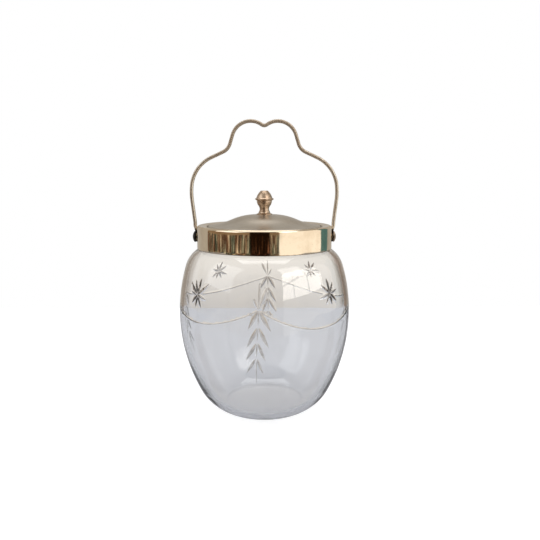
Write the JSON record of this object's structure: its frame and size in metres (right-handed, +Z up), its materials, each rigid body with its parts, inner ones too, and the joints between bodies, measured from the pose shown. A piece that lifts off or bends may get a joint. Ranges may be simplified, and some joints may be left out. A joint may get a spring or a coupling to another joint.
{
  "type": "biscuit jar",
  "caption": "Round cut glass biscuit jar with a plated collar, a lift-off domed lid with a turned finial, and a swinging bail handle.",
  "frame": {"origin": "centre of the flat glass base", "axes": "+Z up along the jar's axis, X through the two bail pivots, front of the jar towards -Y"},
  "size_m": [0.14, 0.14, 0.237],
  "materials": {
    "glass": "clear blown glass with cut and polished decoration",
    "plaster": null,
    "plate_band": "nickel silver with worn silver plate, mirror polish",
    "plate_lid": "nickel silver with dulled silver plate, satin",
    "plate_bail": "nickel silver strip, worn plate",
    "knob_brass": "turned brass, worn plate, polished",
    "screw_dark": "tarnished brass, nearly black",
    "fixing_brass": "plain turned brass"
  },
  "bodies": {
    "root": {"glass_jar": "glass", "plaster_ring": "plaster", "collar_band": "plate_band", "collar_seat": "plate_lid", "pivot_screw_left": "screw_dark", "pivot_screw_right": "screw_dark", "pivot_washer_left": "fixing_brass", "pivot_washer_right": "fixing_brass", "pivot_nut_left": "fixing_brass", "pivot_nut_right": "fixing_brass"},
    "lid": {"lid_dome": "plate_lid", "lid_bezel": "plate_lid", "finial_knob": "knob_brass", "finial_stud": "fixing_brass", "finial_washer": "fixing_brass", "finial_nut": "fixing_brass"},
    "bail": {"bail_handle": "plate_bail"}
  },
  "joints": [
    {"name": "lid_lift", "type": "slide", "parent": "root", "child": "lid", "axis": [0, 0, 1], "range_m": [0, 0.045]},
    {"name": "bail_swing", "type": "hinge", "parent": "root", "child": "bail", "pos_m": [0, 0, 0.1438], "axis": [1, 0, 0], "range_deg": [-116, 116]}
  ]
}
